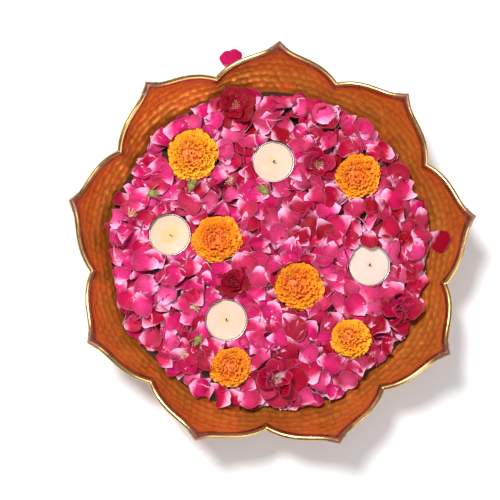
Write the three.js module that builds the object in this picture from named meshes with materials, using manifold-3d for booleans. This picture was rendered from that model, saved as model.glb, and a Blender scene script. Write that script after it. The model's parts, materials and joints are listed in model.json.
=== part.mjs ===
// A lotus-rimmed urli: a hammered sheet bowl with a rolled rim, filled with water on which
// tealights, marigolds, roses and a layer of loose rose petals float.
// Millimetres, +Z up, origin on the table at the middle of the flat base.
import * as THREE from "three";
import Module from "manifold-3d";

// ---- Bowl sheet
const petalCount = 9;
const firstTipAngle = 88.2; // degrees, anticlockwise from +X
const sheet = 1.2; // thickness
const baseRadius = 62; // flat part of the underside
const baseHandle = 53; // how far the floor runs on before it curves up
const valleyRadius = 156.7; // middle of the sheet where two lotus petals meet at the rim
const valleyHeight = 56;
const wallSlope = 59.4; // degrees from level, at the rim
const wallHandle = 25.6;
const fluteDepth = 5; // how far a lotus petal bulges out between its two creases
const shoulderReach = 6.8; // how far the rim stands out beyond the valley, along a petal's shoulders
const pointReach = 6.5; // and how much further at its pointed tip
const pointPower = 5.5; // the larger, the narrower the point

// ---- Rolled rim
const beadRadius = 2.3;
const beadRise = 1.6; // centre of the roll above the sheet's edge
const lipThickness = 0.7; // the two sides of the rim strip that grip the sheet
const lipDepth = 2.4;
const tipBeadExtra = 0.35; // the brazed joint at a tip is a little thicker than the roll
const tipArm = 8; // length of each arm of the brazed joint

// ---- Water and the petals on it
const waterLevel = 38;
const petalLayer = 5; // thickness of the layer of loose petals
const gap = 0.3; // between pieces that touch
const slack = 1; // between a floating piece and the petals round it

// ---- Tealights: place on the water
const tealightPlaces = [[3.4, 79], [90.3, -14.9], [-90, 12], [-38.8, -63]];
const cupRadius = 18.7;
const cupWall = 0.35;
const cupLip = 0.3; // how far the rolled lip stands out
const cupHeight = 15;
const cupDraft = 11.5; // how deep the cup sits in the water
const waxHeight = 13.4;
const waxPool = 0.8; // depth of the dished top
const wickRadius = 0.8;
const wickHeight = 17.4;
const wickFootRadius = 6.5;
const wickFootHeight = 0.5;
const wickNeckRadius = 1.9;
const wickNeckHeight = 3;

// ---- Marigolds: place and diameter of the head
const marigoldPlaces = [
  [-69.7, 83.2, 46], [-47.7, 8.1, 43], [25.4, -33.8, 43.5],
  [80.2, 66, 41], [72.5, -81.1, 36], [-34.8, -106.1, 36],
];
const marigoldHeight = 17;
const calyxRadius = 8;
const calyxDepth = 14;
const stemRadius = 2.2;

// ---- Roses and buds: place and diameter, and the way a bud points, in degrees
const rosePlaces = [[-32, 130, 28], [43.8, 76, 27], [-33.5, -32, 27], [118, -54, 31], [5.4, -117, 44]];
const roseHeight = 12;
const budPlaces = [[-71, 56, 70], [-106, 48, 20], [-5, 51, 130], [-64, -82, 240]];
const budLength = 13;
const budRadius = 4;

// ---- Liftable pieces drift apart until this much water is left between them
const driftGap = 2;

const colours = {
  copper: [0xb4562a, 0.38, 1],
  brass: [0xc9a45c, 0.3, 1],
  braze: [0x9c6a4e, 0.5, 0.9],
  water: [0x3a2a22, 0.05, 0],
  rose: [0xcf3a64, 0.6, 0],
  darkRose: [0x8f0d25, 0.65, 0],
  tin: [0xd8dade, 0.3, 1],
  wax: [0xf7ead0, 0.45, 0],
  cotton: [0x5a4a3c, 0.9, 0],
  marigold: [0xf08a24, 0.75, 0],
  leaf: [0x7c9a4a, 0.7, 0],
};
const materials = Object.fromEntries(
  Object.entries(colours).map(([name, [color, roughness, metalness]]) => [
    name,
    new THREE.MeshStandardMaterial({ color, roughness, metalness }),
  ]),
);

const rad = THREE.MathUtils.degToRad;
const halfPitch = 180 / petalCount; // degrees from a tip to a valley
const scene = new THREE.Group();

function addMesh(parent, name, geometry, material) {
  const mesh = new THREE.Mesh(geometry, material);
  mesh.name = name;
  parent.add(mesh);
  return mesh;
}

// ================= The sheet's middle surface =================

const slopeRun = wallHandle * Math.cos(rad(wallSlope));
const slopeRise = wallHandle * Math.sin(rad(wallSlope));
const meridianCurve = new THREE.CubicBezierCurve(
  new THREE.Vector2(baseRadius, sheet / 2),
  new THREE.Vector2(baseRadius + baseHandle, sheet / 2),
  new THREE.Vector2(valleyRadius - slopeRun, valleyHeight - slopeRise),
  new THREE.Vector2(valleyRadius, valleyHeight),
);

// Radius and height for a rise u: 0 at the flat base, 1 at a valley, and straight on above it.
function meridian(u) {
  if (u <= 1) return meridianCurve.getPoint(u);
  const beyond = 3 * (u - 1);
  return new THREE.Vector2(valleyRadius + beyond * slopeRun, valleyHeight + beyond * slopeRise);
}

// x is the share of the way from a lotus petal's tip (0) to its valley (1).
function rimRise(x) {
  const reach = shoulderReach * (1 - x ** 3) + pointReach * (1 - x) ** pointPower;
  return 1 + reach / (3 * slopeRun);
}

// A station is a place round the bowl: a petal, the side of its tip (-1 or 1), and x.
function azimuth({ petal, side, x }) {
  return rad(firstTipAngle + (2 * petal + side * x) * halfPitch);
}

function onSheet(station, u) {
  const { x: radius, y: height } = meridian(u);
  const flute = fluteDepth * Math.min(u, 1) ** 2 * (1 - station.x ** 2);
  const angle = azimuth(station);
  const reach = radius + flute;
  return new THREE.Vector3(reach * Math.cos(angle), reach * Math.sin(angle), height);
}

// Unit vectors at a point: along (anticlockwise), up the wall, and out of it.
function sheetFrame(station, u, riseAt = () => u) {
  const step = 1e-3;
  const at = (x) => onSheet({ ...station, x }, riseAt(x));
  const x0 = Math.max(station.x - step, 0);
  const x1 = Math.min(station.x + step, 1);
  const along = at(x1).sub(at(x0)).multiplyScalar(station.side).normalize();
  const climb = onSheet(station, u + step).sub(onSheet(station, u - step * Math.min(1, u / step)));
  const out = along.clone().cross(climb).normalize();
  const up = out.clone().cross(along).normalize();
  return { point: onSheet(station, u), along, up, out };
}

// A point off the sheet by a distance, mitred where two petals meet in a crease.
function offSheet(station, u, distance) {
  const { point, out } = sheetFrame(station, u);
  const angle = azimuth(station);
  const round = new THREE.Vector3(-Math.sin(angle), Math.cos(angle), 0);
  const flat = out.clone().addScaledVector(round, -out.dot(round));
  return point.addScaledVector(station.x === 1 ? flat.divideScalar(flat.lengthSq()) : out, distance);
}

// Every station round the bowl, with the given steps from valley to tip.
function stationsRound(steps) {
  const stations = [];
  for (let petal = 0; petal < petalCount; petal++) {
    for (const x of [...steps].reverse()) stations.push({ petal, side: -1, x });
    for (const x of steps.slice(1, -1)) stations.push({ petal, side: 1, x });
  }
  return stations;
}

// The share of the way from a tip to a valley at which a length of rim has been passed.
function shareAtLength(length) {
  const steps = 400;
  let passed = 0;
  let before = onSheet({ petal: 0, side: 1, x: 0 }, rimRise(0));
  for (let i = 1; i <= steps; i++) {
    const after = onSheet({ petal: 0, side: 1, x: i / steps }, rimRise(i / steps));
    passed += after.distanceTo(before);
    if (passed >= length) return i / steps;
    before = after;
  }
  return 1;
}

// Rise at which the inner face, less a clearance, stands at a height.
function riseAtHeight(station, height, shift) {
  let low = 0.05;
  let high = 1.1;
  for (let i = 0; i < 40; i++) {
    const middle = (low + high) / 2;
    if (offSheet(station, middle, shift).z < height) low = middle;
    else high = middle;
  }
  return low;
}

const waterShift = -(sheet / 2 + gap); // from the middle of the sheet to the side of the water
const waterRise = riseAtHeight({ petal: 0, side: 1, x: 0 }, waterLevel, waterShift);
const submerged = [0, 0.25, 0.5, 0.75, 1]; // rows of the sheet, as shares of the rise to the water line
const emerged = [0.35, 0.7, 1]; // and as shares of what is left up to the rim

const armShare = shareAtLength(tipArm);
const strip = [0.25, 0.45, 0.7]; // where the rim is divided between a brazed joint and a valley
const fineSteps = [0, armShare / 2, armShare, ...strip, 1];
const coarseSteps = [0, 0.45, 1];

// ================= Closed meshes from rings of points =================

// Rings are joined one to the next, and each end is closed by a fan to a pole.
function closeRings(rings, firstPole, lastPole) {
  const points = [...rings.flat(), firstPole, lastPole];
  const size = rings[0].length;
  const last = (rings.length - 1) * size;
  const faces = [];
  for (let j = 0; j < size; j++) {
    const next = (j + 1) % size;
    for (let i = 0; i < last; i += size) {
      faces.push(i + j, i + next, i + size + next, i + j, i + size + next, i + size + j);
    }
    faces.push(points.length - 2, next, j, points.length - 1, last + j, last + next);
  }
  return surface(points, faces);
}

// A flat section carried along a path, closed at both ends.
function closeSweep(rings, section) {
  const size = section.length;
  const last = (rings.length - 1) * size;
  const ends = THREE.ShapeUtils.triangulateShape(section, []);
  const faces = [];
  for (let i = 0; i < last; i += size) {
    for (let j = 0; j < size; j++) {
      const next = (j + 1) % size;
      faces.push(i + j, i + size + next, i + next, i + j, i + size + j, i + size + next);
    }
  }
  for (const [a, b, c] of ends) faces.push(a, b, c, last + c, last + b, last + a);
  return surface(rings.flat(), faces);
}

function surface(points, faces) {
  const geometry = new THREE.BufferGeometry().setFromPoints(points);
  geometry.setIndex(faces);
  geometry.computeVertexNormals();
  return geometry;
}

function turned(profile, segments) {
  return new THREE.LatheGeometry(profile.map(([r, z]) => new THREE.Vector2(r, z)), segments)
    .rotateX(Math.PI / 2); // the lathe turns about +Y, the bowl stands on +Z
}

// ================= Bowl =================

function bowlShell() {
  const stations = stationsRound(fineSteps);
  const rises = (x) => [
    ...submerged.map((share) => share * waterRise),
    ...emerged.map((share) => waterRise + share * (rimRise(x) - waterRise)),
  ];
  const rows = [...rises(0).keys()];
  const side = (shift) => rows.map((row) =>
    stations.map((station) => offSheet(station, rises(station.x)[row], shift)));
  const inner = side(-sheet / 2).reverse();
  const outer = side(sheet / 2);
  return closeRings([...outer, ...inner], new THREE.Vector3(0, 0, 0), new THREE.Vector3(0, 0, sheet));
}

// The roll and its two lips, drawn as (out of the wall, up the wall) from the sheet's edge.
function rimSection(extra) {
  const slot = sheet / 2 + gap;
  const lip = slot + lipThickness + extra / 2;
  const radius = beadRadius + extra;
  const lowest = Math.asin(lip / radius);
  const points = [[slot, -lipDepth], [lip, -lipDepth]];
  const arcs = 8;
  for (let i = 0; i <= arcs; i++) {
    const angle = lowest + ((2 * Math.PI - 2 * lowest) * i) / arcs;
    points.push([radius * Math.sin(angle), beadRise - radius * Math.cos(angle)]);
  }
  points.push([-lip, -lipDepth], [-slot, -lipDepth], [-slot, gap], [slot, gap]);
  return points.map(([out, up]) => new THREE.Vector2(out, up));
}

// A section set square to the rim, or mitred in the radial plane at a tip or a valley.
function rimRing(station, section) {
  const { point, along, up, out } = sheetFrame(station, rimRise(station.x), rimRise);
  const angle = azimuth(station);
  const round = new THREE.Vector3(-Math.sin(angle), Math.cos(angle), 0);
  const mitred = station.x === 0 || station.x === 1;
  return section.map(({ x, y }) => {
    const place = point.clone().addScaledVector(out, x).addScaledVector(up, y);
    const ahead = mitred ? place.clone().sub(point).dot(round) / along.dot(round) : 0;
    return place.addScaledVector(along, -ahead);
  });
}

// The strip runs from beside one tip, down through the valley, to beside the next tip.
function rimBead(petal) {
  const section = rimSection(0);
  const steps = [shareAtLength(tipArm + gap), ...strip];
  const rings = [
    ...steps.map((x) => rimRing({ petal, side: 1, x }, section)),
    ...[1, ...steps.reverse()].map((x) => rimRing({ petal: petal + 1, side: -1, x }, section)),
  ];
  return closeSweep(rings, section);
}

function rimTip(petal) {
  const section = rimSection(tipBeadExtra);
  const rings = [
    ...[armShare, armShare / 2].map((x) => rimRing({ petal, side: -1, x }, section)),
    ...[0, armShare / 2, armShare].map((x) => rimRing({ petal, side: 1, x }, section)),
  ];
  return closeSweep(rings, section);
}

// ================= Floating pieces =================

function stationAt(angle) {
  const turns = (THREE.MathUtils.radToDeg(angle) - firstTipAngle) / (2 * halfPitch);
  const petal = Math.round(turns);
  return { petal, side: turns < petal ? -1 : 1, x: Math.min(2 * Math.abs(turns - petal), 0.999) };
}

// Free radius inside the bowl in one direction, at the height where a piece floats.
function freeRadius(angle, height) {
  const station = stationAt(angle);
  const shift = -(sheet / 2 + slack);
  return Math.hypot(...offSheet(station, riseAtHeight(station, height, shift), shift).toArray().slice(0, 2));
}

// Pieces that would touch drift apart, and stay off the wall, as they do on water.
function drift(pieces) {
  for (let pass = 0; pass < 300; pass++) {
    for (const [i, a] of pieces.entries()) {
      for (const b of pieces.slice(i + 1)) pushApart(a, b);
    }
    for (const piece of pieces) {
      const away = Math.hypot(piece.x, piece.y);
      const room = freeRadius(Math.atan2(piece.y, piece.x), piece.height) - piece.radius;
      const pull = Math.min(1, room / away);
      piece.x *= pull;
      piece.y *= pull;
    }
  }
  return pieces;
}

function pushApart(a, b) {
  const [dx, dy] = [b.x - a.x, b.y - a.y];
  const distance = Math.hypot(dx, dy);
  const short = a.radius + b.radius + driftGap - distance;
  if (short <= 0) return;
  const push = short / 2 / distance;
  a.x -= dx * push;
  a.y -= dy * push;
  b.x += dx * push;
  b.y += dy * push;
}

const layerTop = waterLevel + gap + petalLayer;
const onWater = (kind, radius, [x, y]) => ({ kind, x, y, radius, height: waterLevel });
const onPetals = (kind, radius, [x, y, turn]) => ({ kind, x, y, turn, radius, height: layerTop });
const floats = drift([
  ...tealightPlaces.map((place) => onWater("tealight", cupRadius + cupLip, place)),
  ...marigoldPlaces.map((place) => onWater("marigold", place[2] / 2, place)),
  ...rosePlaces.map((place) => onPetals("rose", place[2] / 2, place)),
  ...budPlaces.map((place) => onPetals("bud", budRadius, place)),
]);
const ofKind = (kind) => floats.filter((piece) => piece.kind === kind);

function groupAt({ x, y }, height) {
  const group = new THREE.Group();
  group.position.set(x, y, height);
  scene.add(group);
  return group;
}

function tealightCup() {
  const lipDrop = 1;
  return turned([
    [0, 0], [cupRadius - 1, 0], [cupRadius, 1], [cupRadius, cupHeight - lipDrop],
    [cupRadius + cupLip, cupHeight - lipDrop], [cupRadius + cupLip, cupHeight],
    [cupRadius - cupWall, cupHeight], [cupRadius - cupWall, 1 + cupWall],
    [cupRadius - cupWall - 1, cupWall], [0, cupWall],
  ], 20);
}

// The wax fills the cup, with a hole for the wick and a hollow for its metal foot.
function tealightWax() {
  const floor = cupWall + gap;
  const side = cupRadius - cupWall - gap;
  const hole = wickRadius + gap;
  return turned([
    [hole, floor + wickNeckHeight + gap], [wickNeckRadius + gap, floor + wickNeckHeight + gap],
    [wickNeckRadius + gap, floor + wickFootHeight + gap], [wickFootRadius + gap, floor + wickFootHeight + gap],
    [wickFootRadius + gap, floor], [side - 1, floor], [side, floor + 1], [side, waxHeight],
    [side - 1.5, waxHeight], [side * 0.6, waxHeight - waxPool], [hole, waxHeight - waxPool],
    [hole, floor + wickNeckHeight + gap],
  ], 20);
}

function wickFoot() {
  const floor = cupWall + gap;
  const hole = wickRadius + gap;
  return turned([
    [hole, floor], [wickFootRadius, floor], [wickFootRadius, floor + wickFootHeight],
    [wickNeckRadius, floor + wickFootHeight], [wickNeckRadius, floor + wickNeckHeight],
    [hole, floor + wickNeckHeight], [hole, floor],
  ], 12);
}

function wick() {
  const floor = cupWall + gap;
  return new THREE.CylinderGeometry(wickRadius, wickRadius, wickHeight - floor, 8)
    .rotateX(Math.PI / 2)
    .translate(0, 0, (wickHeight + floor) / 2);
}

function addTealights() {
  ofKind("tealight").forEach((place, i) => {
    const name = `tealight_${i + 1}`;
    const group = groupAt(place, waterLevel - cupDraft);
    addMesh(group, `${name}_cup`, tealightCup(), materials.tin);
    addMesh(group, `${name}_wax`, tealightWax(), materials.wax);
    addMesh(group, `${name}_wick_foot`, wickFoot(), materials.tin);
    addMesh(group, `${name}_wick`, wick(), materials.cotton);
  });
}

// A head of florets stands on the water, and its green calyx and cut stem hang below.
function marigoldHead(radius) {
  return turned([
    [0, gap], [radius * 0.62, gap], [radius * 0.94, marigoldHeight * 0.26], [radius, marigoldHeight * 0.45],
    [radius * 0.9, marigoldHeight * 0.7], [radius * 0.62, marigoldHeight * 0.91], [0, marigoldHeight],
  ], 16);
}

function marigoldCalyx() {
  return turned([
    [0, -calyxDepth], [stemRadius, -calyxDepth], [stemRadius, -calyxDepth * 0.8],
    [calyxRadius * 0.85, -calyxDepth * 0.5], [calyxRadius, 0], [0, 0],
  ], 12);
}

function addMarigolds() {
  ofKind("marigold").forEach((place, i) => {
    const group = groupAt(place, waterLevel);
    addMesh(group, `marigold_${i + 1}_head`, marigoldHead(place.radius), materials.marigold);
    addMesh(group, `marigold_${i + 1}_calyx`, marigoldCalyx(), materials.leaf);
  });
}

// An open bloom lies on the layer of petals, hollow in the middle.
function roseBloom(radius) {
  return turned([
    [0, 0], [radius * 0.4, 0], [radius * 0.82, roseHeight * 0.3], [radius, roseHeight * 0.7],
    [radius * 0.82, roseHeight], [radius * 0.35, roseHeight * 0.8], [0, roseHeight * 0.72],
  ], 14);
}

function addRosesAndBuds() {
  ofKind("rose").forEach((place, i) => {
    const material = [0, 2].includes(i) ? materials.darkRose : materials.rose;
    addMesh(groupAt(place, layerTop + gap), `rose_${i + 1}`, roseBloom(place.radius), material);
  });
  ofKind("bud").forEach((place, i) => {
    const shape = new THREE.SphereGeometry(budRadius, 10, 8).rotateZ(Math.PI / 2);
    const bud = addMesh(groupAt(place, layerTop + gap + budRadius), `bud_${i + 1}`, shape, materials.leaf);
    bud.scale.x = budLength / 2 / budRadius;
    bud.rotation.z = rad(place.turn);
  });
}

// ================= Water and petal layer =================

const wasm = await Module();
wasm.setup();

// A closed mesh whose vertices are already shared becomes a solid that can be cut.
function solid(geometry) {
  return new wasm.Manifold(new wasm.Mesh({
    numProp: 3,
    vertProperties: geometry.attributes.position.array,
    triVerts: new Uint32Array(geometry.index.array),
  }));
}

function geometryOf(made) {
  const mesh = made.getMesh();
  const geometry = new THREE.BufferGeometry();
  geometry.setAttribute("position", new THREE.BufferAttribute(mesh.vertProperties, 3));
  geometry.setIndex(new THREE.BufferAttribute(mesh.triVerts, 1));
  geometry.computeVertexNormals();
  return geometry;
}

// An upright round plug, as a closed mesh with shared vertices.
function plug(x, y, radius, low, high, sides) {
  const ring = (z) => Array.from({ length: sides }, (_, i) => {
    const angle = (2 * Math.PI * i) / sides;
    return new THREE.Vector3(x + radius * Math.cos(angle), y + radius * Math.sin(angle), z);
  });
  return closeRings([ring(low), ring(high)], new THREE.Vector3(x, y, low), new THREE.Vector3(x, y, high));
}

function cutBy(block, plugs) {
  return geometryOf(plugs.reduce((rest, each) => rest.subtract(solid(each)), solid(block)));
}

// The water follows the inside of the bowl, with a pocket for each cup and calyx.
function water() {
  const stations = stationsRound(coarseSteps);
  const floor = sheet + gap;
  const rings = submerged.map((share) => stations.map((station) =>
    offSheet(station, share * riseAtHeight(station, waterLevel, waterShift), waterShift)));
  for (const point of rings.at(-1)) point.z = waterLevel;
  for (const point of rings[0]) point.z = floor;
  const block = closeRings(rings, new THREE.Vector3(0, 0, floor), new THREE.Vector3(0, 0, waterLevel));
  const pockets = [
    ...ofKind("tealight").map(({ x, y }) =>
      plug(x, y, cupRadius + cupLip + gap, waterLevel - cupDraft - gap, waterLevel + 1, 16)),
    ...ofKind("marigold").map(({ x, y }) =>
      plug(x, y, calyxRadius + gap * 2, waterLevel - calyxDepth - gap, waterLevel + 1, 10)),
  ];
  return cutBy(block, pockets);
}

// The loose petals, as one layer with room for each cup and marigold.
function petalBed() {
  const shift = -(sheet / 2 + slack);
  const low = waterLevel + gap;
  const stations = stationsRound(coarseSteps);
  const edge = stations.map((station) => offSheet(station, riseAtHeight(station, low, shift), shift));
  const ring = (z) => edge.map(({ x, y }) => new THREE.Vector3(x, y, z));
  const block = closeRings([ring(low), ring(layerTop)],
    new THREE.Vector3(0, 0, low), new THREE.Vector3(0, 0, layerTop));
  const holes = [...ofKind("tealight"), ...ofKind("marigold")].map(({ x, y, radius }) =>
    plug(x, y, (radius + slack) / Math.cos(Math.PI / 14), low - 1, layerTop + 1, 14));
  return cutBy(block, holes);
}

// ================= Assembly =================

addMesh(scene, "bowl_shell", bowlShell(), materials.copper);
for (let petal = 0; petal < petalCount; petal++) {
  addMesh(scene, `rim_tip_${petal + 1}`, rimTip(petal), materials.braze);
  addMesh(scene, `rim_bead_${petal + 1}`, rimBead(petal), materials.brass);
}
addMesh(scene, "water", water(), materials.water);
addMesh(scene, "petal_bed", petalBed(), materials.rose);
addTealights();
addMarigolds();
addRosesAndBuds();

export default scene;
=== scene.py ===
# A hammered, lotus-rimmed urli of water with floating candles, marigolds, roses and petals.
import json
import math

import bpy
import numpy as np
from mathutils import Matrix, Vector
from mathutils.kdtree import KDTree

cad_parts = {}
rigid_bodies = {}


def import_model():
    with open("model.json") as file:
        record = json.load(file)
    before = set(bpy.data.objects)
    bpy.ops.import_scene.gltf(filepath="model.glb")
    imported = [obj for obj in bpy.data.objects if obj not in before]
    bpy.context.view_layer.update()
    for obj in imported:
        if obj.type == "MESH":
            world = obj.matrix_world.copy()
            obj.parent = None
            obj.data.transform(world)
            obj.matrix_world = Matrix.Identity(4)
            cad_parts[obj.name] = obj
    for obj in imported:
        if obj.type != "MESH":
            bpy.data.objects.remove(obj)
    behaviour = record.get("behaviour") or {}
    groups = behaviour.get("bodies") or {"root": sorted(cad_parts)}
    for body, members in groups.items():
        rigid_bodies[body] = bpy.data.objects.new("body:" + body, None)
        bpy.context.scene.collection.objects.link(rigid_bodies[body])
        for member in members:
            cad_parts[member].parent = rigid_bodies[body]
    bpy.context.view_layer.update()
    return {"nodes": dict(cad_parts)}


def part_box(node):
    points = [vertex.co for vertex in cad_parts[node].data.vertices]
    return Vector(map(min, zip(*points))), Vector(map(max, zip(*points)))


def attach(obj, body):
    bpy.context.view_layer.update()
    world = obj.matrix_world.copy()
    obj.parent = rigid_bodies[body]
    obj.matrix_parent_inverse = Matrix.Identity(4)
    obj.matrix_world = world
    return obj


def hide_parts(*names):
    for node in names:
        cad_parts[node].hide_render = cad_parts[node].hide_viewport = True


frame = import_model()
print("frame loaded,", len(frame["nodes"]), "nodes")


# ---- Camera and lights

view = {"aim": (-0.0178, -0.0012, 0.038), "azimuth": -32.6, "elevation": 83.9, "distance": 0.89, "lens": 71}


def addCamera():
    bpy.ops.object.camera_add()
    camera = bpy.context.object
    azimuth = math.radians(view["azimuth"])
    elevation = math.radians(view["elevation"])
    flat = math.cos(elevation)
    back = Vector((math.sin(azimuth) * flat, -math.cos(azimuth) * flat, math.sin(elevation)))
    right = Vector((0, 1, 0)).cross(back).normalized()  # the picture's up is +Y
    turn = Matrix((right, back.cross(right), back)).transposed().to_4x4()
    place = Vector(view["aim"]) + back * view["distance"]
    camera.matrix_world = Matrix.Translation(place) @ turn
    camera.data.lens = view["lens"]
    bpy.context.scene.camera = camera


lights = [  # name, place, size, power
    ("keyLight", (-0.46, 0.46, 1.32), 0.36, 26),
    ("fillLight", (0.75, -0.85, 0.90), 1.2, 10),
    ("skyLight", (-0.1, 0.0, 1.7), 1.0, 3),
]
worldLight = 0.22


def addLights():
    for name, place, size, power in lights:
        bpy.ops.object.light_add(type="AREA", location=place)
        lamp = bpy.context.object
        lamp.name = name
        lamp.data.shape = "DISK"
        lamp.data.size = size
        lamp.data.energy = power
        lamp.rotation_euler = (-Vector(place)).to_track_quat("-Z", "Y").to_euler()
    world = bpy.data.worlds.new("studio")
    world.use_nodes = True
    world.node_tree.nodes["Background"].inputs["Color"].default_value = (0.93, 0.95, 1, 1)
    world.node_tree.nodes["Background"].inputs["Strength"].default_value = worldLight
    bpy.context.scene.world = world
    bpy.context.scene.view_settings.view_transform = "Standard"


# ---- Working with pieces

def pickOnly(*pieces):
    bpy.ops.object.select_all(action="DESELECT")
    for piece in pieces:
        piece.select_set(True)
    bpy.context.view_layer.objects.active = pieces[0]


def applyModifier(piece, kind, **values):
    pickOnly(piece)
    modifier = piece.modifiers.new(kind.title(), kind)
    for key, value in values.items():
        setattr(modifier, key, value)
    bpy.ops.object.modifier_apply(modifier=modifier.name)


def smooth(piece, degrees=180):
    pickOnly(piece)
    bpy.ops.object.shade_smooth_by_angle(angle=math.radians(degrees))


def mergeSeams(piece):
    pickOnly(piece)
    bpy.ops.object.mode_set(mode="EDIT")
    bpy.ops.mesh.select_all(action="SELECT")
    bpy.ops.mesh.remove_doubles(threshold=1e-6)
    bpy.ops.mesh.normals_make_consistent(inside=False)
    bpy.ops.object.mode_set(mode="OBJECT")


def capRow(piece, first, count):
    mesh = piece.data
    for part in (mesh.vertices, mesh.edges, mesh.polygons):
        part.foreach_set("select", [False] * len(part))
    chosen = np.zeros(len(mesh.vertices), bool)
    chosen[first:first + count] = True
    mesh.vertices.foreach_set("select", chosen)
    bpy.ops.object.mode_set(mode="EDIT")
    bpy.ops.mesh.edge_face_add()
    bpy.ops.object.mode_set(mode="OBJECT")


def pointsOf(piece):
    points = np.empty(len(piece.data.vertices) * 3)
    piece.data.vertices.foreach_get("co", points)
    return points.reshape(-1, 3)


def setPoints(piece, points):
    piece.data.vertices.foreach_set("co", np.ascontiguousarray(points, float).reshape(-1))


def setValues(piece, label, values):
    # One value for all the vertices, or one for each.
    piece.data.attributes[label].data.foreach_set("value", np.zeros(len(piece.data.vertices)) + values)


def flatGrid(name, across, along):
    bpy.ops.object.select_all(action="DESELECT")
    bpy.ops.mesh.primitive_grid_add(x_subdivisions=across - 1, y_subdivisions=along - 1, size=1)
    piece = bpy.context.object
    piece.name = piece.data.name = name
    return piece


def wrappedGrid(name, points, capped=False, values=None):
    # A flat grid wrapped round: one row of its vertices for each ring of points.
    rows, columns = points.shape[:2]
    piece = flatGrid(name, columns, rows)
    setPoints(piece, points)
    for label, value in (values or {}).items():
        piece.data.attributes.new(label, "FLOAT", "POINT")
        setValues(piece, label, value.reshape(-1))
    if capped:
        capRow(piece, 0, columns)
        capRow(piece, (rows - 1) * columns, columns)
    mergeSeams(piece)
    return piece


def turnedPiece(name, profile, sides=48, centre=(0, 0, 0)):
    # A profile of (radius, height) pairs turned round an upright line.
    angles = np.linspace(0, 2 * math.pi, sides + 1)
    profile = np.array(profile)
    points = np.empty((len(profile), sides + 1, 3))
    points[..., 0] = profile[:, :1] * np.cos(angles) + centre[0]
    points[..., 1] = profile[:, :1] * np.sin(angles) + centre[1]
    points[..., 2] = profile[:, 1:] + centre[2]
    return wrappedGrid(name, points)


def unit(vector):
    return vector / np.linalg.norm(vector)


def outward(angle):
    return np.array([math.cos(angle), math.sin(angle), 0])


def ringOf(radius, angles, height):
    return np.stack([radius * np.cos(angles), radius * np.sin(angles), height + 0 * angles], axis=1)


def finishPiece(piece, material, body, slot, *replaced):
    piece.data.materials.clear()
    piece.data.materials.append(material)
    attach(piece, body)
    if replaced:
        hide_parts(*replaced)


# ---- Shader groups shared by the materials

def newGroup(name, inputs, outputs):
    group = bpy.data.node_groups.new(name, "ShaderNodeTree")
    for label, kind, value in inputs:
        socket = group.interface.new_socket(label, in_out="INPUT", socket_type=kind)
        if value is not None:
            socket.default_value = value
    for label, kind in outputs:
        group.interface.new_socket(label, in_out="OUTPUT", socket_type=kind)
    return group, group.nodes.new("NodeGroupInput"), group.nodes.new("NodeGroupOutput")


def addNode(tree, kind, links=(), **values):
    # A node with its settings, its fixed inputs and the sockets linked to it.
    node = tree.nodes.new("ShaderNode" + kind)
    for key, value in values.items():
        setattr(node, key, value)
    for socket, value in dict(links).items():
        if isinstance(value, bpy.types.NodeSocket):
            tree.links.new(value, node.inputs[socket])
        else:
            node.inputs[socket].default_value = value
    return node


def rangeOf(tree, value, low, high, start=0.0, end=1.0, **settings):
    # The value from start to end becomes low to high.
    sockets = {"Value": value, "From Min": start, "From Max": end, "To Min": low, "To Max": high}
    return addNode(tree, "MapRange", sockets, **settings).outputs[0]


def calc(tree, operation, *values):
    return addNode(tree, "Math", dict(enumerate(values)), operation=operation).outputs[0]


def valueOf(tree, label):
    return addNode(tree, "Attribute", attribute_name=label).outputs["Fac"]


def makePatchGroup():
    # Soft-edged patches over a surface, 0 to 1.
    group, start, end = newGroup(
        "patches", [("Size", "NodeSocketFloat", 20.0), ("Contrast", "NodeSocketFloat", 1.0)],
        [("Mask", "NodeSocketFloat")])
    place = addNode(group, "TexCoord").outputs["Object"]
    noise = addNode(group, "TexNoise", {"Vector": place, "Scale": start.outputs["Size"], "Detail": 4.0})
    away = calc(group, "SUBTRACT", noise.outputs["Fac"], 0.5)
    grown = calc(group, "MULTIPLY", away, start.outputs["Contrast"])
    back = addNode(group, "Math", {0: grown, 1: 0.5}, operation="ADD", use_clamp=True)
    group.links.new(back.outputs[0], end.inputs["Mask"])
    return group


def makeGrainGroup():
    # Fine uneven height with a slow swell under it.
    group, start, end = newGroup(
        "grain", [("Fine", "NodeSocketFloat", 900.0), ("Coarse", "NodeSocketFloat", 120.0)],
        [("Height", "NodeSocketFloat")])
    place = addNode(group, "TexCoord").outputs["Object"]
    fine = addNode(group, "TexNoise", {"Vector": place, "Scale": start.outputs["Fine"], "Detail": 3.0})
    coarse = addNode(group, "TexNoise", {"Vector": place, "Scale": start.outputs["Coarse"], "Detail": 2.0})
    both = addNode(group, "Mix", {0: 0.6, 2: fine.outputs["Fac"], 3: coarse.outputs["Fac"]})
    group.links.new(both.outputs[0], end.inputs["Height"])
    return group


patchGroup = makePatchGroup()
grainGroup = makeGrainGroup()


def useGroup(tree, group, **inputs):
    node = tree.nodes.new("ShaderNodeGroup")
    node.node_tree = group
    for label, value in inputs.items():
        node.inputs[label].default_value = value
    return node.outputs[0]


def newMaterial(name, **values):
    # A Principled material; the values are its uniform sockets.
    material = bpy.data.materials.new(name)
    material.use_nodes = True
    shader = material.node_tree.nodes["Principled BSDF"]
    for label, value in values.items():
        shader.inputs[label.replace("_", " ")].default_value = value
    return material, material.node_tree, shader


def mixColours(tree, mask, first, second, blend="MIX"):
    node = addNode(tree, "Mix", {0: mask}, data_type="RGBA", blend_type=blend)
    for socket, colour in ((6, first), (7, second)):
        if isinstance(colour, bpy.types.NodeSocket):
            tree.links.new(colour, node.inputs[socket])
        else:
            node.inputs[socket].default_value = (*colour, 1)
    return node.outputs[2]


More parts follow.
